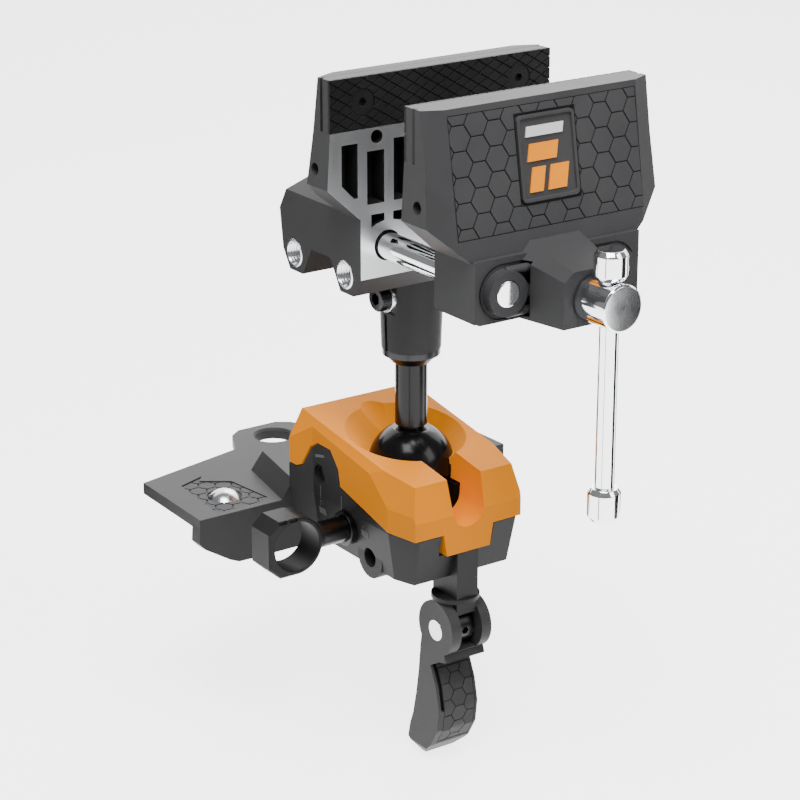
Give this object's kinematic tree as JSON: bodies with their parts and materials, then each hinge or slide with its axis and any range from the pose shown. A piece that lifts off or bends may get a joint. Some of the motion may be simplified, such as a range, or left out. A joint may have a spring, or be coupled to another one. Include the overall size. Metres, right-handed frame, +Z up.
{
  "type": "ball mounted bench vise",
  "caption": "Bench vise with wide lined jaws on guide rods, a screw with a tommy bar, a ball swivel under a cam-lever clamp, and an edge-of-bench mounting plate.",
  "frame": {"origin": "underside of the bench plate, on the middle line, level with its two bolts", "axes": "+X along the jaws, +Y towards the bench, +Z up"},
  "size_m": [0.1916, 0.3103, 0.358],
  "materials": {
    "powder_coat": "fine-textured dark grey powder coat",
    "orange_coat": "satin orange coat",
    "black_pad": "diamond-knurled black lining",
    "chrome": "polished chrome",
    "black_oxide": "black oxide",
    "steel": "machined steel",
    "bronze": "machined bronze",
    "gloss_black": "polished black",
    "badge": "moulded badge",
    "grip": "moulded grip"
  },
  "bodies": {
    "base": {"base_body": "powder_coat", "cup_pads": "black_pad", "bench_plate": "powder_coat", "carriage_bolts": "steel", "cover_pin": "steel", "cam_washer": "steel", "lock_collar": "black_oxide"},
    "cover": {"clamp_cover": "orange_coat"},
    "pull_rod": {"drawbar": "steel"},
    "lever": {"cam_lever": "powder_coat", "lever_grip": "grip", "cam_pin": "steel"},
    "lock": {"lock_ring": "black_oxide", "lock_shaft": "black_oxide"},
    "stud": {"stud_shaft": "black_oxide", "ball": "gloss_black"},
    "head": {"fixed_jaw_body": "powder_coat", "fixed_jaw_insert": "powder_coat", "fixed_jaw_pad": "black_pad", "fixed_insert_screws": "black_oxide", "accessory_inserts": "steel", "lead_nut": "bronze", "column_clamp_screw": "black_oxide", "clamp_washer": "steel", "column_ring": "gloss_black"},
    "slide_jaw": {"movable_jaw_body": "powder_coat", "movable_jaw_insert": "powder_coat", "movable_jaw_pad": "black_pad", "movable_insert_screws": "black_oxide", "badge_plate": "badge", "guide_rods": "chrome"},
    "screw": {"lead_screw": "chrome", "thrust_washer": "black_oxide", "thrust_collar": "steel", "screw_end_ring": "steel"},
    "handle": {"tommy_bar": "chrome", "tommy_knobs": "chrome"}
  },
  "joints": [
    {"name": "ball_tilt", "type": "hinge", "parent": "base", "child": "stud", "pos_m": [0, -0.0715, 0.0315], "axis": [1, 0, 0], "range_deg": [-10, 50]},
    {"name": "head_swivel", "type": "hinge", "parent": "stud", "child": "head", "pos_m": [0, -0.0715, 0.1], "axis": [0, 0, 1], "continuous": true},
    {"name": "jaw_slide", "type": "slide", "parent": "head", "child": "slide_jaw", "axis": [0, 1, 0], "range_m": [-0.04, 0.059]},
    {"name": "screw_spin", "type": "hinge", "parent": "slide_jaw", "child": "screw", "pos_m": [0, -0.2, 0.1555], "axis": [0, 1, 0], "range_deg": [-3610, 5320]},
    {"name": "tommy_slide", "type": "slide", "parent": "screw", "child": "handle", "axis": [0, 0, 1], "range_m": [0, 0.0755]},
    {"name": "lever_turn", "type": "hinge", "parent": "pull_rod", "child": "lever", "pos_m": [0, -0.1102, -0.043], "axis": [-1, 0, 0], "range_deg": [0, 60]},
    {"name": "drawbar_lift", "type": "slide", "parent": "base", "child": "pull_rod", "axis": [0, 0, 1], "range_m": [0, 0.00061]},
    {"name": "cover_hinge", "type": "hinge", "parent": "base", "child": "cover", "pos_m": [0, -0.0416, 0.024], "axis": [-1, 0, 0], "range_deg": [0, 0.51]},
    {"name": "lock_turn", "type": "hinge", "parent": "base", "child": "lock", "pos_m": [0, -0.066, 0.003], "axis": [1, 0, 0], "range_deg": [-90, 0]}
  ],
  "couplings": [
    {"joint": "screw_spin", "follows": "jaw_slide", "rad_per_m": 1570.8},
    {"joint": "drawbar_lift", "follows": "lever_turn", "m_per_rad": 0.00057296},
    {"joint": "cover_hinge", "follows": "lever_turn", "ratio": 0.0083333}
  ]
}
